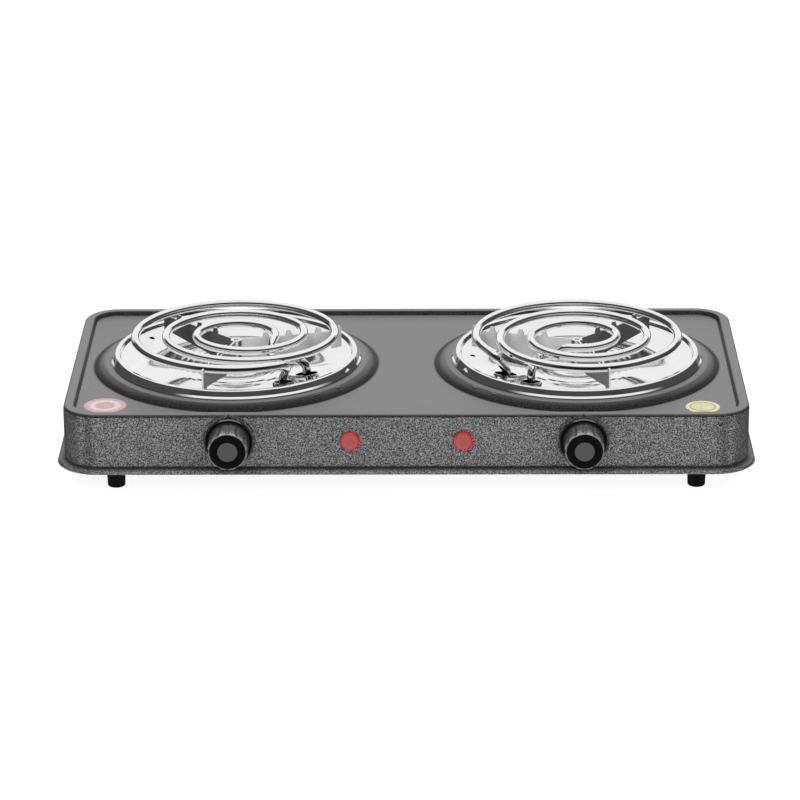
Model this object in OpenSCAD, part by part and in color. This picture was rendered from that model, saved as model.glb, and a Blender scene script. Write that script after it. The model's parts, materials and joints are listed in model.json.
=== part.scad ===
// Double coil hot plate: a deep-drawn steel body that carries two chromed drip pans, two tubular
// heating coils on three-armed supports, two thermostats with fluted knobs and two neon lamps.
// The frame stands on the table at z = 0. The front faces -Y, and +X is to the right.

/* [Body] */
// Width over the side walls
body_w = 480; // [476:1:500]
// Depth over the front and rear walls
body_d = 232; // [230:1:250]
// Height of the rim above the table
rim_z = 58; // [56:0.5:62]
// Radius of the body's corners in plan
corner_r = 25; // [22:1:32]
// Thickness of the body's sheet steel
sheet = 1; // [0.8:0.1:1.2]
// How far the panel lies below the rim
panel_drop = 3; // [2.5:0.1:3.5]
// How far the bottom flange flares past the walls
flare = 5.2; // [4:0.1:6]
// Height of the rubber feet
foot_h = 17; // [15:0.5:18]

/* [Burners] */
// Distance between the two burners' centres
burner_pitch = 245.6; // [242:0.2:250]
// Outer radius of the raised dome around each pan
dome_r = 102.5; // [100:0.5:104]
// Outer radius of the drip pan's lip
pan_r = 90; // [89:0.5:91]
// Height of the pan's flat bottom
pan_floor_z = 51; // [48:0.5:52]

/* [Heating coil] */
// Diameter of the heating tube
tube_d = 6; // [5.6:0.1:6.4]
// Radius of the innermost turn's middle line
turn_r = 28.3; // [27:0.1:30]
// Distance from one turn to the next
turn_pitch = 22.15; // [21:0.05:22.5]
// Height of the coil's middle line
coil_z = 76.3; // [75:0.1:78]

/* [Controls] */
// Distance between the two knobs
knob_pitch = 246.4; // [240:0.2:250]
// Distance between the two lamps
lamp_pitch = 78.6; // [70:0.2:90]
// Height of the knobs and lamps
control_z = 39.3; // [38:0.1:41]
// Diameter of the knob's grip
grip_d = 27.6; // [24:0.2:29]
// Flutes round the grip
flutes = 12; // [8:1:16]
// How far the knob stands out from the front wall
knob_reach = 23; // [20:0.5:25]

/* [Hidden] */
$fn = 64;
tube_r = tube_d / 2;
front_y = -body_d / 2;
rear_y = body_d / 2;
panel_z = rim_z - panel_drop;
plate_t = 1;
plate_z = foot_h;
plate_top = plate_z + plate_t;
gland_back = 8;
body_y = (knob_reach - gland_back) / 2;
skirt_r = 16.7;
spindle_d = 6;
running = 0.05;
turns_r = [for (i = [0:2]) turn_r + i * turn_pitch];
last_sweep = 1030;
pan_t = 0.6;
arm_t = 1.2;
coil_turns = [-13, -103];
arm_angles = [28, 148, 268];
leg_r = 62;
outer_leg_angle = -42.5;
inner_leg = [58.07, -21.9];
leg_foot_z = 44;
blade_foot_z = 32;
bracket_top = 52;
bracket_t = 1.2;
stud_r = 93;
stud_angles = [-38, -26];
foot_x = 203.5;
foot_y = 100;
thermostat_screw_x = 11.5;
lug_x = 228;
lug_y = 104;
lug_places = [[-lug_x, 0, 0], [lug_x, 0, 180], [-95, -lug_y, 90], [95, -lug_y, 90], [-95, lug_y, -90],
    [95, lug_y, -90]];
block_y = 78;
wire_r = 1.1;
joint_gap = 0.1;

// ---- Shared functions ----

function unit(v) = v / norm(v);
function polar(r, a) = [r * cos(a), r * sin(a)];
function cross2(a, b) = a[0] * b[1] - a[1] * b[0];
function flatten(lists) = [for (l = lists) for (p = l) p];
function reversed(l) = [for (i = [len(l) - 1:-1:0]) l[i]];

// The points of a bend of radius r at corner b, on the way from a to c
function bend_points(a, b, c, r, n) =
    let (u = unit(a - b), v = unit(c - b), half = acos(u * v) / 2,
         centre = b + unit(u + v) * r / sin(half),
         from = b + u * r / tan(half) - centre,
         start = atan2(from[1], from[0]),
         sweep = (180 - 2 * half) * (cross2(u, v) > 0 ? -1 : 1))
    [for (i = [0:n]) centre + polar(r, start + sweep * i / n)];

// A path with its corners bent to the radii given, one for each inner corner
function bent(path, radii, n = 5) = concat(
    [path[0]],
    flatten([for (i = [1:len(path) - 2]) bend_points(path[i - 1], path[i], path[i + 1], radii[i - 1], n)]),
    [path[len(path) - 1]]);

// The way out of a path at point i, long enough to keep the sheet's thickness in the corners
function offset_at(path, i) =
    let (last = len(path) - 1,
         before = unit(path[max(i, 1)] - path[max(i, 1) - 1]),
         after = unit(path[min(i, last - 1) + 1] - path[min(i, last - 1)]),
         n1 = [-before[1], before[0]], n2 = [-after[1], after[0]],
         m = unit(n1 + n2))
    m / (m * n1);

// Outline of a bent sheet of thickness t whose middle follows the path
function sheet_outline(path, t) = concat(
    [for (i = [0:len(path) - 1]) path[i] + offset_at(path, i) * t / 2],
    reversed([for (i = [0:len(path) - 1]) path[i] - offset_at(path, i) * t / 2]));

// ---- Shared shapes ----

module at_body() {
    translate([0, body_y, 0]) children();
}

module at_burner(side) {
    at_body() translate([side * burner_pitch / 2, 0, 0]) children();
}

// Turns children with a burner's coil: both burners carry the same parts, a quarter turn apart
module at_coil(side) {
    at_burner(side) rotate([0, 0, coil_turns[(side + 1) / 2]]) children();
}

// Stands children on the front wall at a knob or lamp: their +Z points out of the wall
module on_front(x) {
    at_body() translate([x, front_y, control_z]) rotate([90, 0, 0]) children();
}

module rounded_rect(w, d, r) {
    square([w - 2 * r, d], center = true);
    square([w, d - 2 * r], center = true);
    for (x = [-1, 1], y = [-1, 1]) translate([x * (w / 2 - r), y * (d / 2 - r)]) circle(r);
}

module slot(length, width) {
    square([length - width, width], center = true);
    for (x = [-1, 1]) translate([x * (length - width) / 2, 0]) circle(width / 2);
}

// Sweeps a profile round a rounded rectangle; the profile's x runs out from the corner's centre
module swept_round(w, d, r) {
    for (i = [0:3]) {
        corner = [[1, 1], [-1, 1], [-1, -1], [1, -1]][i];
        translate([corner[0] * (w / 2 - r), corner[1] * (d / 2 - r), 0])
            rotate([0, 0, 90 * i])
                rotate_extrude(angle = 90) children();
        run = i % 2 == 0 ? d - 2 * r : w - 2 * r;
        out = i % 2 == 0 ? w / 2 - r : d / 2 - r;
        rotate([0, 0, 90 * i]) translate([out, 0, 0]) rotate([90, 0, 0])
            linear_extrude(height = run, center = true) children();
    }
}

// A tube that runs along +X and follows its bends: a step is [length] or [radius, angle, roll],
// where roll 0 bends to the left, -90 down and 90 up
module tube_run(steps, r, i = 0) {
    if (i < len(steps)) {
        step = steps[i];
        if (len(step) == 1) {
            rotate([0, 90, 0]) cylinder(r = r, h = step[0]);
            translate([step[0], 0, 0]) tube_run(steps, r, i + 1);
        } else {
            rotate([step[2], 0, 0]) {
                translate([0, step[0], 0]) rotate([0, 0, -90])
                    rotate_extrude(angle = step[1]) translate([step[0], 0]) circle(r);
                translate([0, step[0], 0]) rotate([0, 0, step[1]]) translate([0, -step[0], 0])
                    rotate([-step[2], 0, 0]) tube_run(steps, r, i + 1);
            }
        }
    }
}

// A cross-head screw that points down from the underside of its head at z = 0
module screw(d, head_d, head_h, length) {
    translate([0, 0, -length]) cylinder(d = d, h = length + head_h / 2);
    difference() {
        union() {
            cylinder(d = head_d, h = head_h * 0.6);
            translate([0, 0, head_h * 0.6]) cylinder(d1 = head_d, d2 = head_d * 0.7, h = head_h * 0.4);
        }
        for (a = [0, 90]) rotate([0, 0, a]) translate([-head_d * 0.3, -head_d * 0.06, head_h * 0.5])
            cube([head_d * 0.6, head_d * 0.12, head_h]);
    }
}

module hex_nut(d, across, h) {
    linear_extrude(height = h) difference() {
        polygon([for (i = [0:5]) polar(across / 2 / cos(30), 60 * i)]);
        circle(d / 2);
    }
}

// The points of a path with its corners rounded
function rounded_corner(a, b, c, r) =
    let (t = min(r, norm(a - b) / 2.1, norm(c - b) / 2.1), p = b + unit(a - b) * t, q = b + unit(c - b) * t)
    [for (k = [0:0.25:1]) p * (1 - k) * (1 - k) + b * 2 * k * (1 - k) + q * k * k];
function rounded_path(points, r) = concat(
    [points[0]],
    flatten([for (i = [1:len(points) - 2]) rounded_corner(points[i - 1], points[i], points[i + 1], r)]),
    [points[len(points) - 1]]);
function heading(path, i) = unit(path[min(i + 1, len(path) - 1)] - path[max(i - 1, 0)]);
function sideways(path, n, i = 0) =
    i == len(path) ? []
    : let (t = heading(path, i), m = unit(n - (n * t) * t)) concat([m], sideways(path, m, i + 1));

// A wire through the points given
wire_sides = 8;
module wire(points) {
    path = rounded_path(points, 5);
    last = len(path) - 1;
    normals = sideways(path, [0.36, 0.48, 0.8]);
    rings = flatten([for (i = [0:last], k = [0:wire_sides - 1])
        let (a = 360 * k / wire_sides, n = normals[i], m = cross(heading(path, i), n))
        [path[i] + wire_r * (cos(a) * n + sin(a) * m)]]);
    sides = [for (i = [0:last - 1], k = [0:wire_sides - 1])
        let (next = (k + 1) % wire_sides, at = i * wire_sides)
        [at + k, at + wire_sides + k, at + wire_sides + next, at + next]];
    polyhedron(rings, concat(sides,
        [[for (k = [0:wire_sides - 1]) k]],
        [[for (k = [wire_sides - 1:-1:0]) last * wire_sides + k]]));
}

// ---- Body ----

wall_foot_z = foot_h + 2;
flange_z = foot_h - 1.2;
rim_strip = 6.8;
step_run = 1.8;
edge_r = 2;
collar_r = pan_r - 4.8;
collar_top = rim_z + 6.9;
ring_r = 18;

// The wall's middle line from the panel's edge, up the step, over the rim and down to the flange
function wall_path() =
    let (out = corner_r - sheet / 2, top = rim_z - sheet / 2, panel = panel_z - sheet / 2,
         step_in = corner_r - rim_strip - step_run)
    bent([
        [step_in - 2, panel], [step_in, panel], [step_in + step_run, top], [out, top],
        [out, wall_foot_z], [out + flare - 1.2, flange_z + 1.6], [out + flare, flange_z]
    ], [1, 1, edge_r, 1.2, 1.5]);

// The dome's middle line from the panel in to the top of the collar that carries the pan
function dome_path() =
    let (panel = panel_z - sheet / 2)
    bent([
        [dome_r + 2.5, panel], [dome_r - 0.3, panel], [dome_r - 8, rim_z + 0.6],
        [collar_r, rim_z + 1.4], [collar_r, collar_top]
    ], [1.5, 3, 1.3]);

// An angle welded inside the wall, with the base plate screwed to its foot
module base_lug() {
    reach = body_w / 2 - lug_x - sheet / 2;
    translate([-reach, -7, plate_top]) cube([reach + 5, 14, 1.2]);
    translate([-reach, -7, plate_top]) cube([1.5, 14, 12]);
}

// A shouldered stud welded under the dome, for the terminal bracket
module bracket_stud() {
    translate([stud_r, 0, bracket_top]) cylinder(d = 8, h = rim_z + 0.7 - bracket_top);
    translate([stud_r, 0, bracket_top - 6]) cylinder(d = 4, h = 8);
}

module housing() {
    color("dimgray") difference() {
        union() {
            at_body() {
                swept_round(body_w, body_d, corner_r) polygon(sheet_outline(wall_path(), sheet));
                translate([0, 0, panel_z - sheet]) linear_extrude(height = sheet) difference() {
                    inset = rim_strip + step_run + 1;
                    rounded_rect(body_w - 2 * inset, body_d - 2 * inset, corner_r - inset);
                    for (x = [-1, 1]) translate([x * burner_pitch / 2, 0]) circle(dome_r + 1);
                }
                for (x = [-1, 1]) translate([x * burner_pitch / 2, 0, 0])
                    rotate_extrude($fn = 128) polygon(sheet_outline(dome_path(), sheet));
                for (p = lug_places) translate([p[0], p[1], 0]) rotate([0, 0, p[2]]) base_lug();
            }
            for (s = [-1, 1], a = stud_angles) at_coil(s) rotate([0, 0, a]) bracket_stud();
            for (s = [-1, 1]) on_front(s * knob_pitch / 2)
                rotate_extrude() translate([ring_r, 0]) circle(0.7, $fn = 16);
        }
        for (s = [-1, 1]) {
            on_front(s * knob_pitch / 2) {
                translate([0, 0, -3]) cylinder(d = 11, h = 6);
                for (t = [-1, 1]) translate([t * thermostat_screw_x, 0, -3]) cylinder(d = 3.2, h = 6);
            }
            on_front(s * lamp_pitch / 2) translate([0, 0, -3]) cylinder(d = 10.4, h = 6);
        }
        at_gland() translate([0, 0, -3]) cylinder(d = gland_d + 0.4, h = 6);
        at_body() for (p = lug_places) translate([p[0], p[1], plate_z]) cylinder(d = 3.2, h = 8);
    }
}

// ---- Base ----

rib_y = 56;

module rib(length, width) {
    translate([0, 0, plate_top - 0.01]) linear_extrude(height = 2.01) slot(length, width);
}

module base_plate() {
    color("silver") at_body() difference() {
        union() {
            translate([0, 0, plate_z]) linear_extrude(height = plate_t)
                rounded_rect(body_w - 4, body_d - 4, corner_r - 2);
            for (y = [-rib_y, rib_y]) translate([0, y, 0]) rib(300, 12);
            for (x = [-190, 190]) translate([x, 0, 0]) rotate([0, 0, 90]) rib(110, 12);
        }
        for (y = [-rib_y, rib_y]) translate([0, y, -plate_t]) rib(300 - 2, 12 - 2);
        for (x = [-190, 190]) translate([x, 0, -plate_t]) rotate([0, 0, 90]) rib(110 - 2, 12 - 2);
        for (x = [-1, 1], i = [-3:3]) translate([x * burner_pitch / 2 + i * 12, 0, plate_z - 1])
            linear_extrude(height = 4) rotate([0, 0, 90]) slot(70, 4);
        for (p = lug_places) translate([p[0], p[1], plate_z - 1]) cylinder(d = 3.2, h = 4);
        for (x = [-1, 1], y = [-1, 1]) translate([x * foot_x, y * foot_y, plate_z - 1]) cylinder(d = 4.2, h = 4);
        for (x = [-1, 1]) translate([x * 21, block_y, plate_z - 1]) cylinder(d = 3.2, h = 4);
        translate([earth_at[0], earth_at[1], plate_z - 1]) cylinder(d = 4.2, h = 4);
    }
}

module base_screws() {
    color("silver") at_body() for (p = lug_places)
        translate([p[0], p[1], plate_z]) mirror([0, 0, 1]) screw(3, 6, 2.2, 6);
}

foot_well = 7;

// A turned rubber foot with a well that swallows its screw
module foot(x, y) {
    color([0.08, 0.08, 0.08]) at_body() translate([x * foot_x, y * foot_y, 0]) difference() {
        rotate_extrude() polygon(concat(
            [[0, plate_z], [0, 0], [5, 0]],
            [for (a = [-75:15:-15]) [5, 1.2] + polar(1.2, a)],
            [[6.2, 1.2], [6.7, plate_z - 1], [6.5, plate_z]]));
        translate([0, 0, -1]) cylinder(d = 8.4, h = foot_well + 1);
        translate([0, 0, -1]) cylinder(d = 4.2, h = plate_z + 2);
    }
}

module foot_front_left() {
    foot(-1, -1);
}

module foot_front_right() {
    foot(1, -1);
}

module foot_rear_left() {
    foot(-1, 1);
}

module foot_rear_right() {
    foot(1, 1);
}

module foot_screws() {
    color("silver") at_body() for (x = [-1, 1], y = [-1, 1])
        translate([x * foot_x, y * foot_y, foot_well]) mirror([0, 0, 1]) screw(4, 8, 3, plate_top + 4.5 - foot_well);
}

module foot_nuts() {
    color("silver") at_body() for (x = [-1, 1], y = [-1, 1])
        translate([x * foot_x, y * foot_y, plate_top]) hex_nut(4.2, 7, 3.2);
}

// ---- Drip pans ----

floor_r = 30;
wall_r = pan_r - 6.6;
wall_foot = rim_z + 4.2;
lip_z = rim_z + 7.25;
pan_slope = (wall_foot - pan_floor_z) / (wall_r - floor_r);

// The pan's middle line from its centre up to its lip, which slopes down outside the collar and
// flares at its edge
function pan_path() = bent([
    [0, pan_floor_z], [floor_r, pan_floor_z], [wall_r, wall_foot], [wall_r + 0.6, lip_z],
    [pan_r - 3.3, lip_z], [pan_r - 1.4, rim_z + 3.5], [pan_r - 0.2, rim_z + 2.1]
], [150, 0.8, 1.1, 1.1, 2], 8);

// The height of the pan's middle line on its slope, and of its upper side
function pan_middle(r) = pan_floor_z + (r - floor_r) * pan_slope;
function pan_top(r) = pan_middle(r) + pan_t / 2 * sqrt(1 + pan_slope * pan_slope);

hole_l = 17;
hole_w = 11;
lip_t = 0.8;
lip_h = 1.8;
small_holes = [[161], [249, 283]];

// The two places where the coil's legs pass through the pan
module at_legs() {
    rotate([0, 0, outer_leg_angle]) translate([leg_r + 1, 0, 0]) children();
    rotate([0, 0, atan2(inner_leg[1], inner_leg[0])]) translate([leg_r, 0, 0]) children();
}

module drip_pan(side) {
    path = pan_path();
    past_legs = leg_r + 15;
    low = concat([for (p = path) if (p[0] < past_legs) p], [[past_legs, pan_middle(past_legs)]]);
    raised = [for (p = low) p + [0, lip_h]];
    color("gainsboro") at_coil(side) difference() {
        union() {
            rotate_extrude($fn = 128) polygon(sheet_outline(path, pan_t));
            difference() {
                at_legs() translate([0, 0, pan_floor_z]) linear_extrude(height = 15)
                    slot(hole_l + 2 * lip_t, hole_w + 2 * lip_t);
                rotate_extrude($fn = 128) polygon(concat([[0, 40], [past_legs, 40]], reversed(low)));
                rotate_extrude($fn = 128) polygon(concat(raised, [[past_legs, 80], [0, 80]]));
            }
        }
        at_legs() translate([0, 0, pan_floor_z - 5]) linear_extrude(height = 30) slot(hole_l, hole_w);
        for (a = small_holes[(side + 1) / 2])
            rotate([0, 0, a]) translate([75, 0, rim_z - 5]) cylinder(d = 4, h = 15);
    }
}

module drip_pan_left() {
    drip_pan(-1);
}

module drip_pan_right() {
    drip_pan(1);
}

// ---- Heating coils ----

// The turns grow on arcs: each lies centred for half its way, then steps out on a half circle
// whose centre is moved by half a pitch
step_at = 225;
function step_radius(i) = (turns_r[i] + turns_r[i + 1]) / 2;

lead_drop = 7;
lead_bend_r = 7;
lead_dip = 50;
lead_turn_r = 9.5;
end_bend_r = 8;
end_tilt = 52;
dip_run = (lead_drop - 2 * lead_bend_r * (1 - cos(lead_dip))) / sin(lead_dip);
inner_lead = [
    [lead_bend_r, lead_dip, -90], [dip_run], [lead_bend_r, lead_dip, 90], [lead_turn_r, 90, 0],
    [inner_leg[0] - turn_r - lead_turn_r - lead_bend_r], [lead_bend_r, 90, -90],
    [coil_z - lead_drop - lead_bend_r - leg_foot_z]
];
end_run = 7.3;
end_drop = (end_bend_r + end_run + end_bend_r * cos(end_tilt)) * sin(end_tilt)
    + end_bend_r * (1 - sin(end_tilt)) * cos(end_tilt);
outer_lead = [[end_bend_r, 90, -end_tilt], [end_run], [end_bend_r, 90 - end_tilt, -90 - end_tilt]];
joint_r = tube_r + 0.1;
step_turn = step_at - 180;
joint_turn = 0.2;

outer_leg_out = turns_r[2] - (end_bend_r + end_run + end_bend_r * cos(end_tilt)) * cos(end_tilt)
    + end_bend_r * (1 - sin(end_tilt)) * sin(end_tilt);

module turn(r, from, to, x = 0) {
    translate([x, 0, 0]) rotate_extrude(angle = to - from, start = from, $fn = 128)
        translate([r, 0]) circle(tube_r, $fn = 32);
}

// The spiral itself, turned so that it steps out on its left
module spiral() {
    half = turn_pitch / 2;
    turn(turns_r[0], -step_turn + joint_turn, 180);
    turn(step_radius(0), -180, 0, half);
    turn(turns_r[1], 0, 180);
    turn(step_radius(1), -180, 0, half);
    turn(turns_r[2], 0, last_sweep - 720 - step_turn - joint_turn);
}

// Balls a hair wider than the tube join the spiral, its two leads and the outer leg
module coil(side) {
    color("gainsboro") at_coil(side) translate([0, 0, coil_z]) {
        rotate([0, 0, step_turn]) spiral();
        translate([turns_r[0], 0, 0]) {
            rotate([50, 0, 140]) sphere(r = joint_r);
            rotate([0, 0, -90]) tube_run(inner_lead, tube_r, $fn = 32);
        }
        rotate([0, 0, last_sweep]) {
            translate([turns_r[2], 0, 0]) {
                rotate([50, 0, 140]) sphere(r = joint_r);
                rotate([0, 0, 90]) tube_run(outer_lead, tube_r, $fn = 32);
            }
            translate([outer_leg_out, end_bend_r, -end_drop]) sphere(r = joint_r);
            translate([outer_leg_out, end_bend_r, leg_foot_z - coil_z])
                cylinder(r = tube_r, h = coil_z - end_drop - joint_gap - leg_foot_z);
        }
    }
}

module coil_left() {
    coil(-1);
}

module coil_right() {
    coil(1);
}

// ---- Coil supports ----

// The radius of the tube's middle line, the given number of turns and degrees from its inner end
function stepped_out(i, a) =
    let (m = step_radius(i), d = turn_pitch / 2, c = -d * cos(a - step_at))
    c + sqrt(m * m - d * d + c * c);
function turn_at(sweep) =
    sweep < step_at ? turns_r[0]
    : sweep < step_at + 180 ? stepped_out(0, sweep)
    : sweep < step_at + 360 ? turns_r[1]
    : sweep < step_at + 540 ? stepped_out(1, sweep)
    : turns_r[2];

arm_top = coil_z - tube_r;
arm_end = 78;
hub_r = 4;
arm_lift = 0.05;
nub_top = coil_z + 0.8;

// A nub that keeps the tube from sliding, as points of the arm's outline
function nub(r) = [[r + 2.6, arm_top], [r + 1.3, nub_top], [r - 1.3, nub_top], [r - 2.6, arm_top]];

function arm_outline(radii) = concat(
    [[2, pan_floor_z + 4], [26, pan_floor_z + 4], [arm_end - 8, pan_top(arm_end - 8) + 2]],
    [[arm_end - 7, pan_top(arm_end - 7) + arm_lift], [arm_end, pan_top(arm_end) + arm_lift]],
    [[arm_end, nub_top - 1], [arm_end - 1, nub_top], [radii[2] + tube_r + 0.3, nub_top],
     [radii[2] + tube_r, coil_z - 1.2], [radii[2] + tube_r - 1.2, arm_top]],
    nub((radii[1] + radii[2]) / 2), nub((radii[0] + radii[1]) / 2), nub(radii[0] - tube_r - 3.2),
    [[2, arm_top]]);

module coil_support(side) {
    color("silver") at_coil(side) {
        for (a = arm_angles) rotate([0, 0, a]) translate([0, arm_t / 2, 0]) rotate([90, 0, 0])
            linear_extrude(height = arm_t) polygon(arm_outline([for (i = [0:2]) turn_at(a + 360 * i)]));
        translate([0, 0, pan_floor_z + 4]) difference() {
            cylinder(r = hub_r, h = arm_top - pan_floor_z - 4);
            translate([0, 0, -1]) cylinder(r = hub_r - 2.4, h = 30);
        }
    }
}

module coil_support_left() {
    coil_support(-1);
}

module coil_support_right() {
    coil_support(1);
}

// ---- Coil terminals ----

module terminal_bracket(side) {
    mid = (stud_angles[0] + stud_angles[1]) / 2;
    color("silver") at_coil(side) difference() {
        translate([0, 0, bracket_top - bracket_t]) linear_extrude(height = bracket_t)
            rotate([0, 0, mid]) translate([(stud_r + 54) / 2, 0]) rounded_rect(stud_r - 54 + 12, 40, 4);
        for (a = stud_angles) rotate([0, 0, a]) translate([stud_r, 0, bracket_top - 3]) cylinder(d = 4.2, h = 6);
        at_leg_axes() translate([0, 0, bracket_top - 3]) cylinder(d = 10.2, h = 6);
    }
}

// The exact places of the coil's legs
module at_leg_axes() {
    rotate([0, 0, last_sweep]) translate([outer_leg_out, end_bend_r, 0]) children();
    translate([inner_leg[0], inner_leg[1], 0]) children();
}

module terminal_bracket_left() {
    terminal_bracket(-1);
}

module terminal_bracket_right() {
    terminal_bracket(1);
}

module bracket_nuts() {
    color("silver") for (s = [-1, 1], a = stud_angles) at_coil(s) rotate([0, 0, a])
        translate([stud_r, 0, bracket_top - bracket_t - 3.2]) hex_nut(4.2, 7, 3.2);
}

module terminal_bushes(side) {
    color("goldenrod") at_coil(side) at_leg_axes() difference() {
        union() {
            translate([0, 0, bracket_top]) cylinder(d = 14, h = 1.5);
            translate([0, 0, bracket_top - 5]) cylinder(d = 10, h = 6);
        }
        translate([0, 0, bracket_top - 10]) cylinder(d = tube_d + 2 * running, h = 20);
    }
}

module terminal_bushes_left() {
    terminal_bushes(-1);
}

module terminal_bushes_right() {
    terminal_bushes(1);
}

// A ceramic bead with a pin, welded to a blade
module coil_terminals(side) {
    color("white") at_coil(side) at_leg_axes() {
        translate([0, 0, leg_foot_z - 4]) cylinder(d = 5.4, h = 4);
        translate([0, 0, blade_foot_z + 6]) cylinder(d = 2.4, h = 4);
        translate([-3.2, -0.4, blade_foot_z]) cube([6.4, 0.8, 8]);
    }
}

module coil_terminals_left() {
    coil_terminals(-1);
}

module coil_terminals_right() {
    coil_terminals(1);
}

// ---- Thermostats ----

thermostat_back = 20;
blade_l = 7;
blade_x = 8;

module thermostat(side) {
    color([0.85, 0.8, 0.7]) on_front(side * knob_pitch / 2) difference() {
        union() {
            translate([-16, -9, -sheet - 1.5]) cube([32, 18, 1.5]);
            translate([-14, -12, -thermostat_back]) cube([28, 24, thermostat_back - sheet - 2.5]);
            translate([-8, -7, -sheet - 3]) cube([16, 14, 2]);
            translate([0, 0, -sheet - 2]) cylinder(d = 9.4, h = sheet + 2.5);
        }
        translate([0, 0, -15]) cylinder(d = spindle_d + 2 * running, h = 20);
        for (t = [-1, 1]) translate([t * thermostat_screw_x, 0, -9]) cylinder(d = 3.2, h = 10);
        for (t = [-1, 1]) translate([t * 14, 0, -thermostat_back - 1]) rotate([0, 0, 45])
            translate([-1.5, -1.5, 0]) cube([3, 3, 16]);
    }
}

module thermostat_left() {
    thermostat(-1);
}

module thermostat_right() {
    thermostat(1);
}

module thermostat_screws() {
    color("silver") for (s = [-1, 1], t = [-1, 1])
        on_front(s * knob_pitch / 2) translate([t * thermostat_screw_x, 0, 0]) screw(3, 5.4, 1.8, 7);
}

// ---- Knobs ----

skirt_from = 0.9;
grip_from = 2.6;
flat_at = 2;
flat_from = 4;
bore_end = 17;
hollow_r = 10.3;
boss_r = 5.5;
rib_from = 8;

// A spindle with a flat along its outer end
module spindle(side) {
    color("silver") on_front(side * knob_pitch / 2) difference() {
        translate([0, 0, -14]) cylinder(d = spindle_d, h = 14 + bore_end - 0.5);
        translate([-5, flat_at, flat_from]) cube([10, 5, bore_end]);
    }
}

module spindle_left() {
    spindle(-1);
}

module spindle_right() {
    spindle(1);
}

// The knob is moulded in one: a dished skirt, a fluted hollow grip and a split boss with a D bore
module knob(side) {
    grip_r = grip_d / 2;
    color([0.08, 0.08, 0.08]) on_front(side * knob_pitch / 2) difference() {
        union() {
            rotate_extrude() polygon([[0, grip_from], [skirt_r - 2.2, grip_from], [skirt_r - 2.2, skirt_from],
                [skirt_r, skirt_from], [skirt_r, 2.4], [skirt_r - 0.8, 3.2], [grip_r - 1, 4.4], [0, 4.4]]);
            intersection() {
                translate([0, 0, grip_from]) linear_extrude(height = knob_reach - grip_from) difference() {
                    circle(grip_r);
                    for (i = [0:flutes - 1])
                        translate(polar(grip_r + 1.5, 360 * i / flutes)) circle(2.4);
                }
                rotate_extrude() polygon([[0, grip_from], [grip_r - 0.6, grip_from], [grip_r + 0.1, knob_reach - 5],
                    [grip_r + 0.1, knob_reach - 2.2], [grip_r - 1.2, knob_reach - 0.6],
                    [grip_r - 3.4, knob_reach], [0, knob_reach]]);
            }
        }
        translate([0, 0, knob_reach - 1.2]) cylinder(r = 7, h = 5);
        translate([0, 0, -1]) linear_extrude(height = knob_reach - 4) difference() {
            circle(hollow_r);
            circle(boss_r);
            for (a = [45:90:315]) rotate(a) translate([5, -0.6]) square([8, 1.2]);
        }
        translate([0, 0, -1]) linear_extrude(height = rib_from + 1) difference() {
            circle(hollow_r);
            circle(boss_r);
        }
        translate([0, 0, -1]) linear_extrude(height = bore_end + 1) difference() {
            circle(spindle_d / 2 + running);
            translate([-5, flat_at + running]) square([10, 5]);
        }
        translate([0, 0, -1]) cylinder(d = spindle_d + 2 * running, h = flat_from + 1);
        translate([-0.5, -6, -1]) cube([1, 5, 12]);
    }
}

module knob_left() {
    knob(-1);
}

module knob_right() {
    knob(1);
}

module knob_cap(side) {
    color("gray") on_front(side * knob_pitch / 2) translate([0, 0, knob_reach - 1.2]) {
        cylinder(r = 6.95, h = 1.1);
        translate([0, 0, 1.1]) cylinder(r1 = 6.95, r2 = 6.55, h = 0.3);
    }
}

module knob_cap_left() {
    knob_cap(-1);
}

module knob_cap_right() {
    knob_cap(1);
}

// A spring ring round the knob's split boss
module knob_clip(side) {
    color("silver") on_front(side * knob_pitch / 2) translate([0, 0, grip_from])
        rotate([0, 0, -70]) rotate_extrude(angle = 320) translate([boss_r + running, 0]) square([0.7, 5]);
}

module knob_clip_left() {
    knob_clip(-1);
}

module knob_clip_right() {
    knob_clip(1);
}

// ---- Lamps ----

lens_d = 13.7;
lamp_back = 18;

module lamp_lens(side) {
    color("red") on_front(side * lamp_pitch / 2) difference() {
        union() {
            rotate_extrude() polygon([[0, 0], [lens_d / 2, 0], [lens_d / 2, 1.6], [lens_d / 2 - 0.7, 2.6],
                [lens_d / 2 - 1.6, 2.9], [lens_d / 2 - 1.9, 3.6], [0, 3.6]]);
            translate([0, 0, -9]) cylinder(d = 10, h = 9.5);
        }
        translate([0, 0, -10]) cylinder(d = 8, h = 11.5);
    }
}

module lamp_lens_left() {
    lamp_lens(-1);
}

module lamp_lens_right() {
    lamp_lens(1);
}

// The neon tube in its holder
module lamp_body(side) {
    color("white") on_front(side * lamp_pitch / 2) {
        translate([0, 0, -lamp_back]) cylinder(d = 10, h = lamp_back - 9);
        translate([0, 0, -9.5]) cylinder(d = 7.8, h = 2);
        translate([0, 0, -8]) cylinder(d = 5, h = 6);
        translate([0, 0, -2]) sphere(d = 5);
    }
}

module lamp_body_left() {
    lamp_body(-1);
}

module lamp_body_right() {
    lamp_body(1);
}

// Spring washers that hold the lamps against the wall's inner side
module lamp_clips() {
    color("silver") for (s = [-1, 1]) on_front(s * lamp_pitch / 2)
        translate([0, 0, -sheet - 0.8]) difference() {
            cylinder(d = 17, h = 0.8);
            translate([0, 0, -1]) cylinder(d = 10.1, h = 3);
            for (a = [0:60:300]) rotate([0, 0, a]) translate([4, -0.5, -1]) cube([2.6, 1, 3]);
        }
}

lamp_blade_x = 3;

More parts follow.
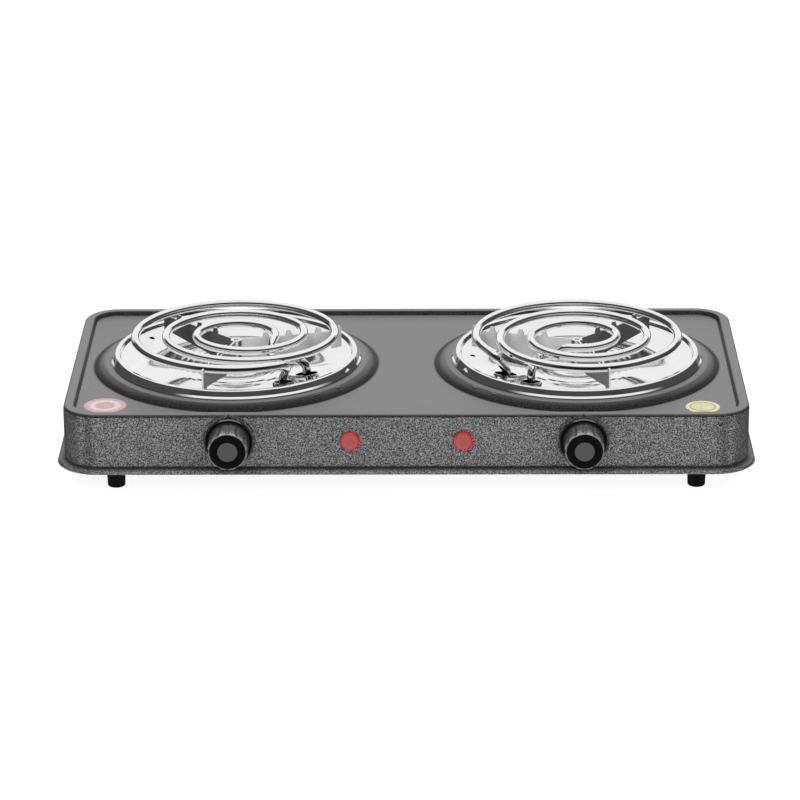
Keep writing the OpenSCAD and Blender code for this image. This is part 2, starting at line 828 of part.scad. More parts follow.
// The blades of the thermostats and lamps
module blade_terminals() {
    color("goldenrod") for (s = [-1, 1]) {
        for (t = [-1, 1]) {
            on_front(s * knob_pitch / 2) translate([t * blade_x - 0.4, -3.15, -thermostat_back - blade_l])
                cube([0.8, 6.3, blade_l]);
            on_front(s * lamp_pitch / 2) translate([t * lamp_blade_x - 0.25, -1.4, -lamp_back - blade_l])
                cube([0.5, 2.8, blade_l]);
        }
    }
}

// ---- Supply ----

block_l = 50;
block_w = 18;
block_h = 14;
block_ways = [-10, 0, 10];
grub_y = 5;
gland_d = 14;
gland_z = control_z - 4;

module terminal_block() {
    color("white") at_body() translate([0, block_y, plate_top]) difference() {
        union() {
            translate([-16, -block_w / 2, 0]) cube([32, block_w, block_h]);
            translate([-block_l / 2, -5, 0]) cube([block_l, 10, 4]);
        }
        for (x = block_ways) translate([x, 0, 7]) {
            translate([0, block_w / 2 + 1, 0]) rotate([90, 0, 0]) cylinder(d = 6.2, h = block_w + 2);
            for (y = [-grub_y, grub_y]) translate([0, y, 0]) cylinder(d = 3.8, h = 10);
        }
        for (x = [-5, 5]) translate([x - 0.75, -block_w / 2 - 1, 5]) cube([1.5, block_w + 2, 10]);
        for (x = [-21, 21]) translate([x, 0, -1]) cylinder(d = 3.2, h = 8);
    }
}

// Brass clamps with their grub screws, and the two screws that hold the block
module block_screws() {
    color("goldenrod") at_body() translate([0, block_y, plate_top]) {
        for (x = block_ways) translate([x, 0, 7]) {
            difference() {
                translate([0, 8, 0]) rotate([90, 0, 0]) cylinder(d = 6, h = 16);
                translate([0, 9, 0]) rotate([90, 0, 0]) cylinder(d = 4.8, h = 18);
            }
            for (y = [-grub_y, grub_y]) translate([0, y, wire_r + 0.1]) difference() {
                cylinder(d = 3.4, h = 5.2);
                translate([-2, -0.3, 4.2]) cube([4, 0.6, 3]);
            }
        }
        for (x = [-21, 21]) translate([x, 0, 4]) screw(3, 5.6, 2, 7);
    }
}

module at_gland() {
    at_body() translate([0, rear_y, gland_z]) rotate([-90, 0, 0]) children();
}

// The cord's inlet: a moulded gland with its nut on the inner side
module cord_gland() {
    color([0.1, 0.1, 0.1]) at_gland() difference() {
        union() {
            translate([0, 0, -10]) cylinder(d = gland_d, h = 12);
            cylinder(d = 20, h = 3);
            translate([0, 0, 3]) cylinder(d1 = 17, d2 = 13, h = gland_back - 3);
            translate([0, 0, -sheet - 5]) linear_extrude(height = 5)
                polygon([for (i = [0:5]) polar(11, 60 * i)]);
        }
        translate([0, 0, -12]) cylinder(d = 7.4, h = 24);
    }
}

// The earth screw clamps a ring with a barrel for its wire
earth_at = [30, 100];
ring_t = 0.8;
barrel_z = 1.75;
barrel_end = 11;

module earth_screw() {
    color("silver") at_body() translate([earth_at[0], earth_at[1], plate_top]) {
        translate([0, 0, -plate_t - 2.6]) cylinder(d = 7.6, h = 2.6);
        translate([0, 0, -plate_t - 0.5]) cylinder(d = 4, h = 10);
        translate([0, 0, ring_t]) hex_nut(3.9, 7, 3.2);
        difference() {
            cylinder(d = 10, h = ring_t);
            translate([0, 0, -1]) cylinder(d = 3.9, h = 3);
        }
        translate([-barrel_end, 0, barrel_z]) rotate([0, 90, 0]) cylinder(d = 3.4, h = barrel_end - 4.7);
    }
}

// ---- Wiring ----

wire_z = [21.6, 24.4, 27.2];
near_leg = [87.9, -51.3];
far_leg = [71.4, -34.7];

module wiring(side) {
    s = side;
    kx = knob_pitch / 2;
    lx = lamp_pitch / 2;
    blade_y = front_y + thermostat_back + blade_l;
    lamp_y = front_y + lamp_back + blade_l;
    entry_y = block_y - 3;
    block_z = plate_top + 7;
    beside = wire_r + 0.1;
    at_body() {
        // Thermostat to the near leg
        color("white") wire([
            [s * (kx - blade_x), blade_y, control_z], [s * (kx - blade_x), blade_y + 4, control_z],
            [s * (kx - blade_x), blade_y + 6, wire_z[1]], [s * (near_leg[0] + 1.6), near_leg[1], wire_z[1]],
            [s * (near_leg[0] + 1.6), near_leg[1], blade_foot_z]
        ]);
        // Far leg to the block
        color("royalblue") wire([
            [s * (far_leg[0] + 1.6), far_leg[1], blade_foot_z], [s * (far_leg[0] + 1.6), far_leg[1], wire_z[0]],
            [s * 34, 30, wire_z[0]], [10 + s * beside, 58, wire_z[1]], [10 + s * beside, entry_y, block_z]
        ]);
        // Block to the thermostat
        color("saddlebrown") wire([
            [-10 + s * beside, entry_y, block_z], [-10 + s * beside, 52, wire_z[2]],
            [s * 60, 20, wire_z[2]], [s * 165, -20, wire_z[2]], [s * 160, -70, wire_z[2]],
            [s * (kx + blade_x), blade_y + 8, wire_z[2]], [s * (kx + blade_x), blade_y + 5, control_z],
            [s * (kx + blade_x), blade_y, control_z]
        ]);
        // Lamp to both legs
        color("gray") wire([
            [s * (lx + lamp_blade_x), lamp_y, control_z], [s * (lx + lamp_blade_x), lamp_y + 5, control_z],
            [s * (lx + lamp_blade_x), lamp_y + 7, wire_z[2]], [s * (near_leg[0] - 1.6), near_leg[1], wire_z[2]],
            [s * (near_leg[0] - 1.6), near_leg[1], blade_foot_z]
        ]);
        color("gray") wire([
            [s * (lx - lamp_blade_x), lamp_y, control_z], [s * (lx - lamp_blade_x), lamp_y + 9, control_z],
            [s * (lx - lamp_blade_x), lamp_y + 12, wire_z[1]], [s * (far_leg[0] - 1.6), far_leg[1], wire_z[1]],
            [s * (far_leg[0] - 1.6), far_leg[1], blade_foot_z]
        ]);
    }
}

module wiring_left() {
    wiring(-1);
}

module wiring_right() {
    wiring(1);
}

module earth_lead() {
    color("yellowgreen") at_body() wire([
        [0, block_y + 3, plate_top + 7], [0, 96, plate_top + 7], [7, earth_at[1], plate_top + barrel_z],
        [13, earth_at[1], plate_top + barrel_z], [earth_at[0] - barrel_end, earth_at[1], plate_top + barrel_z]
    ]);
}

housing();
base_plate();
base_screws();
foot_front_left();
foot_front_right();
foot_rear_left();
foot_rear_right();
foot_screws();
foot_nuts();
drip_pan_left();
drip_pan_right();
coil_left();
coil_right();
coil_support_left();
coil_support_right();
terminal_bracket_left();
terminal_bracket_right();
bracket_nuts();
terminal_bushes_left();
terminal_bushes_right();
coil_terminals_left();
coil_terminals_right();
thermostat_left();
thermostat_right();
thermostat_screws();
spindle_left();
spindle_right();
knob_left();
knob_right();
knob_cap_left();
knob_cap_right();
knob_clip_left();
knob_clip_right();
lamp_lens_left();
lamp_lens_right();
lamp_body_left();
lamp_body_right();
lamp_clips();
blade_terminals();
terminal_block();
block_screws();
cord_gland();
earth_screw();
wiring_left();
wiring_right();
earth_lead();
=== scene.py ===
import json
import math

import bmesh
import bpy
from mathutils import Matrix, Vector


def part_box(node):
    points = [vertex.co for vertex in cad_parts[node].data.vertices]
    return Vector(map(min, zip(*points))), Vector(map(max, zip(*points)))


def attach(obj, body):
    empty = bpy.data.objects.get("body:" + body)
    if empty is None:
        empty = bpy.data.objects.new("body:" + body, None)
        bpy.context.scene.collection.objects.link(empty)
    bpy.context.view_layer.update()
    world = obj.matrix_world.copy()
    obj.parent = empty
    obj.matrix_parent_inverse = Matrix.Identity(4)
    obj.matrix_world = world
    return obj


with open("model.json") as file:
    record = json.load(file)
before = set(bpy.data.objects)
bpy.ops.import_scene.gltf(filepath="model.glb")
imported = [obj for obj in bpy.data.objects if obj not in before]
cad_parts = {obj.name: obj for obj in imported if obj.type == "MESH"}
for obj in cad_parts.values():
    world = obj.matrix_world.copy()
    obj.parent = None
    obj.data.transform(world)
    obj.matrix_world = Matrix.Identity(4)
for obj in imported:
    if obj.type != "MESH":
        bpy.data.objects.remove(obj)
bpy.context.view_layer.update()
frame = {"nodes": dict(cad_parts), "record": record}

# ---- Places on the body, in metres ----

# The panel, from which the domes rise, and the wall's foot, where it turns out into the flange
PANEL_Z = 0.0550
WALL_FOOT = 0.0193

# Sloping faces are speckled like the walls below the first height, and are not above the second
SPECKLED_Z = (0.030, 0.034)

# The middle of the right drip pan's plan, which the left one mirrors
pan_low, pan_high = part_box("drip_pan_right")
BURNER_X = (pan_low[0] + pan_high[0]) / 2
BURNER_Y = (pan_low[1] + pan_high[1]) / 2

# The radii between which a dome's foot is darkened with painted shade
FOOT_RING = (0.090, 0.106)

# The front wall, and the top of the ring round each knob
FRONT_Y = -0.1085
KNOB_RING_TOP = 0.0580

# The knobs' axes, mirrored in X, and the radius of a grip
KNOB_X = 0.1232
KNOB_Z = 0.0393
GRIP_R = 0.0137

# The lamps' middles, mirrored in X, and the radius of a lens
LAMP_X = 0.0393
LAMP_Z = 0.0393
LAMP_R = 0.0072

# The films' middles and radii on the panel, their thickness, and the radius their prints are given over
FILM_LEFT = (-0.2110, -0.0805, PANEL_Z)
FILM_LEFT_R = 0.0150
FILM_RIGHT = (0.2074, -0.0845, PANEL_Z)
FILM_RIGHT_R = 0.0120
FILM_T = 0.00022
PRINT_R = 0.02

# The values between which most of a noise lies
NOISE_LOW = 0.3
NOISE_HIGH = 0.7

# ---- Node helpers ----


def grey(v):
    return (v, v, v)


def colour(node):
    """A node's colour output."""
    return next(o for o in node.outputs if o.type == "RGBA")


def fill_ramp(node, stops):
    """Set a colour ramp's stops, given from low to high."""
    elements = node.color_ramp.elements
    elements.remove(elements[1])
    elements[0].position = stops[0][0]
    elements[0].color = (*stops[0][1], 1)
    for at, tone in stops[1:]:
        elements.new(at).color = (*tone, 1)


class Graph:
    """A node tree: add() makes nodes, and link() joins sockets by name or number."""

    def __init__(self, tree):
        self.tree = tree
        self.tree.nodes.clear()
        self.coords = self.add("ShaderNodeTexCoord")

    def add(self, kind, **props):
        node = self.tree.nodes.new(kind)
        for k, v in props.items():
            setattr(node, k, v)
        return node

    def link(self, a, a_out, b, b_in):
        self.tree.links.new(a.outputs[a_out], b.inputs[b_in])

    def parts(self, which):
        """The X, Y and Z of a texture coordinate."""
        node = self.add("ShaderNodeSeparateXYZ")
        self.link(self.coords, which, node, "Vector")
        return node

    def span(self, src, out, lo, hi, a=0.0, b=1.0):
        """Map the range a to b on the range lo to hi, and hold the ends."""
        node = self.add("ShaderNodeMapRange")
        for k, v in zip(("From Min", "From Max", "To Min", "To Max"), (a, b, lo, hi)):
            node.inputs[k].default_value = v
        self.link(src, out, node, "Value")
        return node

    def math(self, how, a, a_out, b, b_out):
        """Two values joined by an operation."""
        node = self.add("ShaderNodeMath", operation=how)
        self.link(a, a_out, node, 0)
        self.link(b, b_out, node, 1)
        return node

    def absolute(self, src, out):
        node = self.add("ShaderNodeMath", operation="ABSOLUTE")
        self.link(src, out, node, 0)
        return node

    def less(self, src, out, value):
        """A value less a number."""
        node = self.add("ShaderNodeMath", operation="SUBTRACT")
        self.link(src, out, node, 0)
        node.inputs[1].default_value = value
        return node


class Shader(Graph):
    """A material with one principled surface."""

    def __init__(self, name):
        self.mat = bpy.data.materials.new(name)
        self.mat.use_nodes = True
        super().__init__(self.mat.node_tree)
        self.bsdf = self.add("ShaderNodeBsdfPrincipled")
        self.link(self.bsdf, "BSDF", self.add("ShaderNodeOutputMaterial"), "Surface")

    def set(self, **values):
        for k, v in values.items():
            self.bsdf.inputs[k.replace("_", " ")].default_value = v

    def noise(self, scale, detail=3.0, rough=0.5, stretch=None):
        tex = self.add("ShaderNodeTexNoise")
        tex.inputs["Scale"].default_value = scale
        tex.inputs["Detail"].default_value = detail
        tex.inputs["Roughness"].default_value = rough
        if stretch:
            stretched = self.add("ShaderNodeMapping")
            stretched.inputs["Scale"].default_value = stretch
            self.link(self.coords, "Object", stretched, "Vector")
            self.link(stretched, "Vector", tex, "Vector")
        else:
            self.link(self.coords, "Object", tex, "Vector")
        return tex

    def ramp(self, src, out, stops):
        node = self.add("ShaderNodeValToRGB")
        fill_ramp(node, stops)
        self.link(src, out, node, "Fac")
        return node

    def vary(self, noise, lo, hi):
        """A value that goes from lo to hi with a noise."""
        return self.span(noise, "Fac", lo, hi, NOISE_LOW, NOISE_HIGH)

    def tones(self, noise, lo, hi):
        """A colour that goes from lo to hi with a noise."""
        return self.ramp(noise, "Fac", [(NOISE_LOW, lo), (NOISE_HIGH, hi)])

    def mix(self, how="MIX"):
        """A colour mix and its two colour inputs, found by type because the names repeat."""
        node = self.add("ShaderNodeMix", data_type="RGBA", blend_type=how)
        ins = {i.name: i for i in node.inputs if i.type == "RGBA"}
        return node, ins["A"], ins["B"]

    def shade(self, src, factor):
        """The colour times a number."""
        node, a, b = self.mix("MULTIPLY")
        node.inputs[0].default_value = 1.0
        self.tree.links.new(colour(src), a)
        b.default_value = (*grey(factor), 1)
        return node

    def times(self, src, other, other_out):
        """The colour times another node's output."""
        node, a, b = self.mix("MULTIPLY")
        node.inputs[0].default_value = 1.0
        self.tree.links.new(colour(src), a)
        self.tree.links.new(other.outputs[other_out], b)
        return node

    def between(self, first, second, mask, mask_out):
        """The first colour where the mask is 0 and the second where it is 1."""
        node, a, b = self.mix()
        self.link(mask, mask_out, node, 0)
        self.tree.links.new(colour(first), a)
        self.tree.links.new(colour(second), b)
        return node

    def distance(self, place, middle_x, axis, middle):
        """How far a point is from a middle, mirrored in X, in the plane of X and another axis."""
        flat = self.add("ShaderNodeCombineXYZ")
        self.link(self.less(self.absolute(place, "X"), "Value", middle_x), "Value", flat, "X")
        self.link(self.less(place, axis, middle), "Value", flat, "Y")
        radius = self.add("ShaderNodeVectorMath", operation="LENGTH")
        self.link(flat, "Vector", radius, "Vector")
        return radius

    def bump(self, src, out, height, strength=1.0, after=None):
        """A bump of a value, on top of an earlier bump if one is given."""
        node = self.add("ShaderNodeBump")
        node.inputs["Distance"].default_value = height
        node.inputs["Strength"].default_value = strength
        self.link(src, out, node, "Height")
        if after:
            self.link(after, "Normal", node, "Normal")
        return node

    def rough(self, noise, lo, hi):
        """Roughness that goes from lo to hi with a noise."""
        self.link(self.vary(noise, lo, hi), "Result", self.bsdf, "Roughness")

    def made(self, tone, bump):
        """The material, with the tone's colour and the bump's normal."""
        self.tree.links.new(colour(tone), self.bsdf.inputs["Base Color"])
        self.link(bump, "Normal", self.bsdf, "Normal")
        return self.mat


# ---- Materials ----


def plain(name, color, rough, grain=900.0, vary=0.12, depth=0.00002, **more):
    """Simple finish: colour and roughness that vary a little, with a fine grain."""
    s = Shader(name)
    s.set(**more)
    broad = s.noise(60.0, 4.0)
    fine = s.noise(grain, 3.0, 0.6)
    lo = tuple(c * (1 - vary) for c in color)
    hi = tuple(min(1.0, c * (1 + vary)) for c in color)
    s.rough(fine, rough * 0.8, min(1.0, rough * 1.25))
    return s.made(s.tones(broad, lo, hi), s.bump(fine, "Fac", depth))


def brushed(name, color, rough):
    """Dull metal with fine upright lines."""
    s = Shader(name)
    s.set(Metallic=1.0)
    lines = s.noise(350.0, 4.0, 0.6, (1.0, 1.0, 14.0))
    broad = s.noise(25.0, 3.0)
    lo = tuple(c * 0.86 for c in color)
    s.rough(lines, rough * 0.7, rough * 1.3)
    return s.made(s.tones(broad, lo, color), s.bump(lines, "Fac", 0.00001))


def chrome(name, tint, rough, dust):
    """Bright plate with faint wiping marks and a little unevenness."""
    s = Shader(name)
    s.set(Metallic=1.0)
    wipes = s.noise(140.0, 5.0, 0.6, (1.0, 3.0, 1.0))
    waves = s.noise(30.0, 2.0)
    lo = tuple(c * 0.94 for c in tint)
    s.link(s.span(wipes, "Fac", rough, rough + dust, 0.35, 0.75), "Result", s.bsdf, "Roughness")
    return s.made(s.tones(waves, lo, tint), s.bump(waves, "Fac", 0.00008, 0.5))


def paint():
    """Hammered enamel. Level faces are an even grey and upright faces are speckled. Painted shade
    darkens the bends, the domes' feet, the corners and the flange's crease."""
    s = Shader("hammertone")
    s.set(IOR=1.45)
    facing = s.parts("Normal")
    place = s.parts("Object")
    specks = s.noise(1150.0, 1.5, 0.6)
    grain = s.noise(1900.0, 2.0, 0.6)
    broad = s.noise(9.0, 3.0)
    speckled = s.ramp(specks, "Fac", [
        (0.34, grey(0.022)), (0.45, grey(0.095)), (0.55, grey(0.215)), (0.67, grey(0.40))])
    smooth = s.ramp(grain, "Fac", [(0.25, grey(0.185)), (0.75, grey(0.225))])

    # Painted shade: bends are dark, and slopes are darker at the domes' feet and towards the front
    sloping = s.span(facing, "Z", 0.0, 1.0, 0.74, 0.86)
    foot = s.span(place, "Z", 0.04, 1.0, PANEL_Z + 0.0004, PANEL_Z + 0.0026)
    to_front = s.span(facing, "Y", 0.34, 1.0, -0.40, 0.10)
    slope_shade = s.math("MULTIPLY", foot, "Result", to_front, "Result")
    slope = s.times(smooth, slope_shade, "Value")
    tone = s.between(s.shade(speckled, 0.16), slope, sloping, "Result")

    # Upright faces, with painted shade: darker round the corners and on the faces that look to the sides
    upright = s.span(facing, "Z", 1.0, 0.0, 0.12, 0.34)
    under = s.span(place, "Z", 1.0, 0.0, *SPECKLED_Z)
    wall = s.math("MAXIMUM", upright, "Result", under, "Result")
    corner_shade = s.ramp(s.absolute(facing, "X"), "Value", [
        (0.05, grey(1.0)), (0.22, grey(0.62)), (0.45, grey(0.95)), (0.62, grey(0.62)), (1.0, grey(0.55))])
    tone = s.between(tone, s.times(speckled, corner_shade, "Color"), wall, "Value")

    # Level faces
    level = s.span(facing, "Z", 0.0, 1.0, 0.955, 0.985)
    tone = s.between(tone, smooth, level, "Result")

    # Painted shade: the dark, speckled ring at each dome's foot, widest and blackest towards the front
    radius = s.distance(place, BURNER_X, "Y", BURNER_Y)
    outward = s.span(radius, "Value", 0.0, 1.0, *FOOT_RING)
    thin = s.ramp(outward, "Result", [
        (0.0, grey(0.0)), (0.24, grey(0.12)), (0.45, grey(0.48)),
        (0.60, grey(0.92)), (0.76, grey(1.0)), (0.88, grey(0.0))])
    broad_band = s.ramp(outward, "Result", [
        (0.25, grey(0.0)), (0.48, grey(0.8)), (0.78, grey(1.0)), (0.86, grey(0.0))])
    around = s.math("MULTIPLY", thin, "Color", s.span(facing, "Y", 1.0, 0.93, -0.30, 0.05), "Result")
    front = s.math("MULTIPLY", broad_band, "Color", s.span(facing, "Y", 1.0, 0.0, -0.38, -0.20), "Result")
    ring = s.math("MAXIMUM", around, "Value", front, "Value")
    on_top = s.span(place, "Z", 0.0, 1.0, PANEL_Z - 0.0010, PANEL_Z - 0.0006)
    mask = s.math("MULTIPLY", ring, "Value", on_top, "Result")
    tone = s.between(tone, s.shade(speckled, 0.13), mask, "Value")
    s.link(s.span(mask, "Value", 0.5, 0.04), "Result", s.bsdf, "Specular IOR Level")

    # Painted shade in the crease where the wall turns out into the flange, and a broad unevenness
    off_foot = s.absolute(s.less(place, "Z", WALL_FOOT), "Value")
    tone = s.times(tone, s.span(off_foot, "Value", 0.12, 1.0, 0.0003, 0.0014), "Result")
    tone = s.times(tone, s.vary(broad, 0.92, 1.0), "Result")

    s.rough(specks, 0.30, 0.46)
    height = s.math("MULTIPLY", specks, "Fac", s.span(level, "Result", 1.0, 0.12), "Result")
    hammered = s.bump(height, "Value", 0.00016, 0.8)
    return s.made(tone, s.bump(grain, "Fac", 0.00002, 0.5, hammered))


def support():
    """Satin plate of the coil carriers, with painted reflections: the faces that look to the sides are
    darker than the rest.
    """
    s = Shader("support_steel")
    lines = s.noise(300.0, 4.0, 0.6, (1.0, 1.0, 6.0))
    # Painted reflections: faces that look to the sides are painted dark, the rest near white
    tone = s.ramp(s.absolute(s.parts("Normal"), "X"), "Value", [
        (0.34, grey(0.97)), (0.46, grey(0.13)), (0.82, grey(0.13)), (0.92, grey(0.26))])
    varied = s.vary(lines, 0.88, 1.0)
    s.rough(lines, 0.3, 0.45)
    return s.made(s.times(tone, varied, "Result"), s.bump(lines, "Fac", 0.00001))


def lens():
    """Red lamp lens, with a painted reflection that greys the middle of its face; it is bright at its edge.
    """
    s = Shader("lamp_red")
    s.set(Specular_IOR_Level=0.3)
    radius = s.distance(s.parts("Object"), LAMP_X, "Z", LAMP_Z)
    fine = s.noise(700.0, 3.0)
    # Painted reflection: the middle of the face is greyed
    tone = s.ramp(s.span(radius, "Value", 0.0, 1.0, 0.0, LAMP_R), "Result", [
        (0.30, (0.37, 0.10, 0.10)), (0.62, (0.52, 0.095, 0.095)),
        (0.80, (0.56, 0.08, 0.08)), (0.92, (0.50, 0.02, 0.02))])
    wear = s.vary(fine, 0.9, 1.05)
    s.rough(fine, 0.16, 0.26)
    return s.made(s.times(tone, wear, "Result"), s.bump(fine, "Fac", 0.00001))


def knob_plastic():
    """Glossy black plastic, with painted highlights: the grip's flutes and chamfers are paler than the face
    and the skirt.
    """
    s = Shader("knob_black")
    s.set(IOR=2.4)
    fine = s.noise(500.0, 3.0, 0.6)
    # Painted highlights: the flutes are paler and the chamfers palest, the front face black
    tone = s.ramp(s.absolute(s.parts("Normal"), "Y"), "Value", [
        (0.0, grey(0.10)), (0.30, grey(0.10)), (0.45, grey(0.26)), (0.86, grey(0.26)), (0.94, grey(0.006))])
    radius = s.distance(s.parts("Object"), KNOB_X, "Z", KNOB_Z)
    # The painted highlights are kept to the grip, and the skirt stays dark
    grip = s.span(radius, "Value", 1.0, 0.04, GRIP_R + 0.0004, GRIP_R + 0.0010)
    wear = s.vary(fine, 0.75, 1.1)
    s.rough(fine, 0.12, 0.2)
    # The painted highlights, with a random unevenness of tone
    varied = s.times(s.times(tone, grip, "Result"), wear, "Result")
    return s.made(varied, s.bump(fine, "Fac", 0.00001))


MATERIALS = {
    "hammertone_paint": paint(),
    "zinc_sheet": brushed("zinc_sheet", (0.55, 0.56, 0.57), 0.42),
    "zinc_steel": brushed("zinc_steel", (0.62, 0.63, 0.64), 0.3),
    "black_rubber": plain("black_rubber", grey(0.008), 0.18, grain=500.0, vary=0.2, depth=0.00001, IOR=2.2),
    "pan_chrome": chrome("pan_chrome", grey(0.92), 0.03, 0.03),
    "coil_steel": chrome("coil_steel", grey(0.92), 0.04, 0.04),
    "support_steel": support(),
    "cap_grey": plain("cap_grey", grey(0.085), 0.55, vary=0.06),
    "spring_steel": brushed("spring_steel", (0.4, 0.41, 0.42), 0.3),
    "knob_black": knob_plastic(),
    "lamp_red": lens(),
    "white_nylon": plain("white_nylon", (0.68, 0.66, 0.6), 0.5),
    "ceramic_cream": plain("ceramic_cream", (0.6, 0.54, 0.42), 0.7),
    # Painted shade: the brass is dark for the shade it sits in, inside the pans' holes
    "terminal_brass": brushed("terminal_brass", (0.20, 0.16, 0.09), 0.4),
    "terminal_steel": brushed("terminal_steel", grey(0.6), 0.32),
    "black_nylon": plain("black_nylon", grey(0.02), 0.42, vary=0.2),
    "wire_white": plain("wire_white", (0.6, 0.58, 0.53), 0.5),
    "wire_green": plain("wire_green", (0.2, 0.33, 0.05), 0.5),
    "dial_black": plain("dial_black", grey(0.008), 0.5, vary=0.1),
}

for subpart in frame["record"]["subparts"]:
    mesh = frame["nodes"][subpart["node"]].data
    mesh.materials.clear()
    mesh.materials.append(MATERIALS[subpart["material_slot"]])

# The carriers stay out of the pans' mirror images, which are white in the photograph
for side in ("left", "right"):
    frame["nodes"]["coil_support_" + side].visible_glossy = False

# ---- Printed films and marks ----


def film(name, rings, grain, blotch):
    """A printed film whose colour changes with the distance from its middle."""
    s = Shader(name)
    flat = s.add("ShaderNodeVectorMath", operation="MULTIPLY")
    s.link(s.coords, "Object", flat, 0)
    flat.inputs[1].default_value = (1, 1, 0)
    radius = s.add("ShaderNodeVectorMath", operation="LENGTH")
    s.link(flat, 0, radius, 0)
    edge = s.noise(grain, 4.0, 0.6)
    shift = s.vary(edge, -blotch, blotch)
    shifted = s.math("ADD", radius, "Value", shift, "Result")
    print_tone = s.ramp(s.span(shifted, "Value", 0.0, 1.0, 0.0, PRINT_R), "Result", rings)
    wear = s.span(s.noise(grain * 0.45, 5.0, 0.65), "Fac", 0.82, 1.05, 0.35, 0.65)
    s.rough(edge, 0.25, 0.42)
    return s.made(s.times(print_tone, wear, "Result"), s.bump(edge, "Fac", 0.00001))


def smooth_piece(name, mesh, at, material):
    for f in mesh.polygons:
        f.use_smooth = True
    obj = bpy.data.objects.new(name, mesh)
    obj.location = at
    obj.data.materials.append(material)
    bpy.context.scene.collection.objects.link(obj)
    return obj


def disc(name, profile, segments=96):
    """A revolve about Z. The profile runs from a point on the axis out and down to the underside."""
    verts = [(0, 0, profile[0][1])]
    rows = profile[1:]
    for r, z in rows:
        for k in range(segments):
            a = 2 * math.pi * k / segments
            verts.append((r * math.cos(a), r * math.sin(a), z))
    faces = []
    for i in range(len(rows) - 1):
        inner, outer = 1 + i * segments, 1 + (i + 1) * segments
        for k in range(segments):
            n = (k + 1) % segments
            faces.append((inner + k, outer + k, outer + n, inner + n))
    faces += [(0, 1 + k, 1 + (k + 1) % segments) for k in range(segments)]
    last = 1 + (len(rows) - 1) * segments
    faces.append(tuple(last + k for k in reversed(range(segments))))
    mesh = bpy.data.meshes.new(name)
    mesh.from_pydata(verts, [], faces)
    mesh.validate()
    return mesh


def place_film(name, at, radius, material):
    """A round film with a soft edge, stuck on the panel."""
    profile = [
        (0, FILM_T), (radius - 0.0004, FILM_T), (radius - 0.0001, FILM_T * 0.7),
        (radius, FILM_T * 0.2), (radius, 0)]
    obj = smooth_piece(name, disc(name, profile), at, material)
    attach(obj, "root")


def index_tick(name, x):
    """The dark line over the top of a knob's ring."""
    bm = bmesh.new()
    bmesh.ops.create_cube(bm, size=1.0)
    bmesh.ops.scale(bm, vec=(0.0010, 0.0028, 0.0014), verts=bm.verts)
    bmesh.ops.bevel(bm, geom=bm.edges[:], offset=0.00025, segments=3, affect="EDGES", profile=0.5)
    mesh = bpy.data.meshes.new(name)
    bm.to_mesh(mesh)
    bm.free()
    at = (x, FRONT_Y + 0.0003, KNOB_RING_TOP - 0.0003)
    obj = smooth_piece(name, mesh, at, MATERIALS["dial_black"])
    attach(obj, "root")


pink_film = film("pink_film", [
    (0.0, (0.74, 0.48, 0.46)), (0.33, (0.72, 0.42, 0.42)), (0.37, (0.84, 0.78, 0.72)),
    (0.50, (0.86, 0.82, 0.76)), (0.55, (0.80, 0.52, 0.52)), (0.74, (0.74, 0.40, 0.43))], 900.0, 0.0006)
yellow_film = film("yellow_film", [
    (0.0, (0.84, 0.82, 0.42)), (0.40, (0.84, 0.82, 0.42)), (0.43, (0.34, 0.33, 0.14)),
    (0.445, (0.34, 0.33, 0.14)), (0.47, (0.92, 0.92, 0.50)), (0.60, (0.92, 0.92, 0.50))], 700.0, 0.00008)

place_film("film_left", FILM_LEFT, FILM_LEFT_R, pink_film)
place_film("film_right", FILM_RIGHT, FILM_RIGHT_R, yellow_film)
index_tick("index_tick_left", -KNOB_X)
index_tick("index_tick_right", KNOB_X)

# ---- Studio ----


def soft_light(name, size, at, power):
    """A white area light that looks at the middle of the frame and stays out of mirror images."""
    data = bpy.data.lights.new(name, "AREA")
    data.shape = "RECTANGLE"
    data.size, data.size_y = size
    data.energy = power
    lamp = bpy.data.objects.new(name, data)
    lamp.location = at
    lamp.visible_glossy = False
    lamp.rotation_euler = (-Vector(at)).to_track_quat("-Z", "Y").to_euler()
    bpy.context.scene.collection.objects.link(lamp)


def floor_plane():
    """Pale paper, lit a little from within, which stays out of mirror images."""
    bpy.ops.mesh.primitive_plane_add(size=40, location=(0, 0, -0.0002))
    plane = bpy.context.object
    plane.name = "floor"
    plane.visible_glossy = False
    s = Shader("floor_paper")
    s.set(Roughness=0.9, Specular_IOR_Level=0.1, Emission_Color=(1, 1, 1, 1), Emission_Strength=0.92)
    tone = s.tones(s.noise(3.0, 3.0), grey(0.38), grey(0.40))
    s.tree.links.new(colour(tone), s.bsdf.inputs["Base Color"])
    plane.data.materials.append(s.mat)


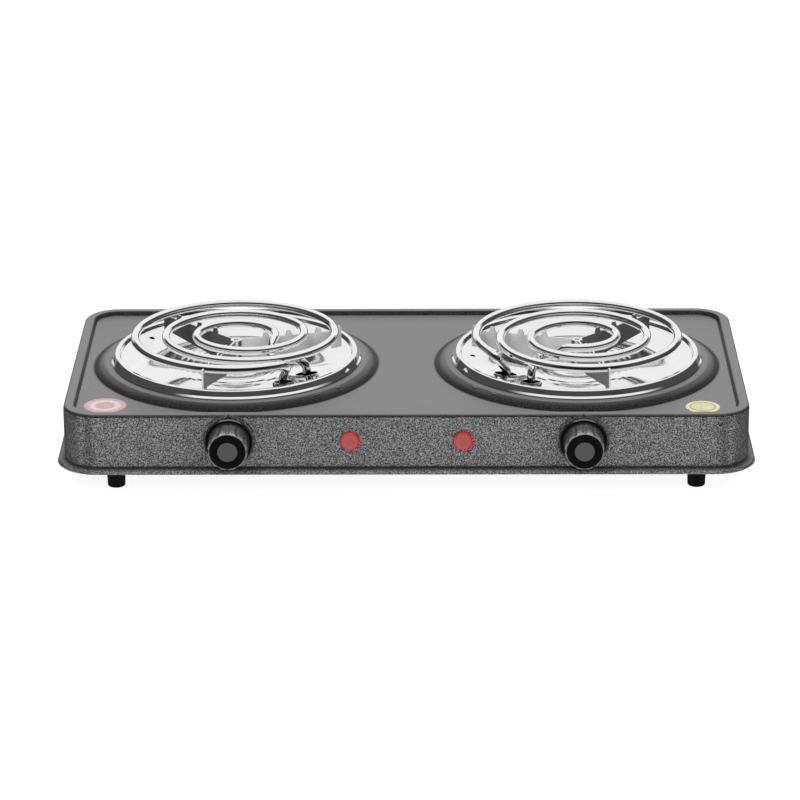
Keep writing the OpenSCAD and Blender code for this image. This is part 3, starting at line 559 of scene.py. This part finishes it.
def sky():
    """A broad white ceiling that leans to the back, a white backdrop, and a dark room round the rest."""
    world = bpy.data.worlds.new("studio")
    world.use_nodes = True
    bpy.context.scene.world = world
    g = Graph(world.node_tree)
    back = g.add("ShaderNodeBackground")
    g.link(back, "Background", g.add("ShaderNodeOutputWorld"), "Surface")
    way = g.parts("Generated")

    # The ceiling is highest a little to the back, and narrows to the sides
    lean = g.add("ShaderNodeVectorMath", operation="DOT_PRODUCT")
    g.link(g.coords, "Generated", lean, 0)
    lean.inputs[1].default_value = (0.06, 0.30, 0.95)
    across = g.math("MULTIPLY", way, "X", way, "X")
    narrowed = g.math("SUBTRACT", lean, "Value", g.span(across, "Value", 0.0, 0.20), "Result")
    ceiling = g.span(narrowed, "Value", 0.0, 1.0, 0.53, 0.60)

    behind = g.span(way, "Y", 0.0, 1.0, 0.78, 0.88)
    over_floor = g.span(way, "Z", 0.0, 1.0, -0.12, 0.0)
    backdrop = g.math("MULTIPLY", behind, "Result", over_floor, "Result")
    bright = g.math("MAXIMUM", ceiling, "Result", backdrop, "Value")
    white = g.math("MULTIPLY", bright, "Value", g.span(bright, "Value", 0.9, 1.08), "Result")

    # The room is darkest low in front, and dims below the floor's edge
    not_ahead = g.span(way, "Y", 1.0, 0.0, -0.60, -0.80)
    upper = g.span(way, "Z", 0.0, 1.0, 0.48, 0.54)
    glow = g.math("MAXIMUM", upper, "Result", not_ahead, "Result")
    dim = g.span(way, "Z", 0.35, 1.0, -0.10, 0.0)
    room = g.math("MULTIPLY", g.span(glow, "Value", 0.014, 0.085), "Result", dim, "Result")
    g.link(g.math("ADD", white, "Value", room, "Value"), "Value", back, "Strength")


floor_plane()
sky()
soft_light("key", size=(1.6, 0.8), at=(-1.0, -1.6, 2.2), power=22)
soft_light("fill", size=(2.4, 1.2), at=(1.2, -2.4, 1.4), power=22)

# ---- Camera ----

CAMERA_AT = (0.01026, -2.54223, 0.96165)
LENS_MM = 168.55
SENSOR_MM = 36
PITCH, YAW, ROLL = (math.radians(v) for v in (20.137, -0.339, -0.197))

ahead = Vector((math.sin(YAW) * math.cos(PITCH), math.cos(YAW) * math.cos(PITCH), -math.sin(PITCH)))
right = Vector((math.cos(YAW), -math.sin(YAW), 0))
up = right.cross(ahead)
camera_right = right * math.cos(ROLL) + up * math.sin(ROLL)
camera_up = up * math.cos(ROLL) - right * math.sin(ROLL)
turn = Matrix((camera_right, camera_up, -ahead)).transposed()

camera_data = bpy.data.cameras.new("camera")
camera_data.lens = LENS_MM
camera_data.sensor_width = SENSOR_MM
camera_data.clip_end = 100
camera = bpy.data.objects.new("camera", camera_data)
camera.matrix_world = Matrix.Translation(CAMERA_AT) @ turn.to_4x4()
bpy.context.scene.collection.objects.link(camera)
bpy.context.scene.camera = camera
bpy.context.scene.view_settings.view_transform = "Standard"
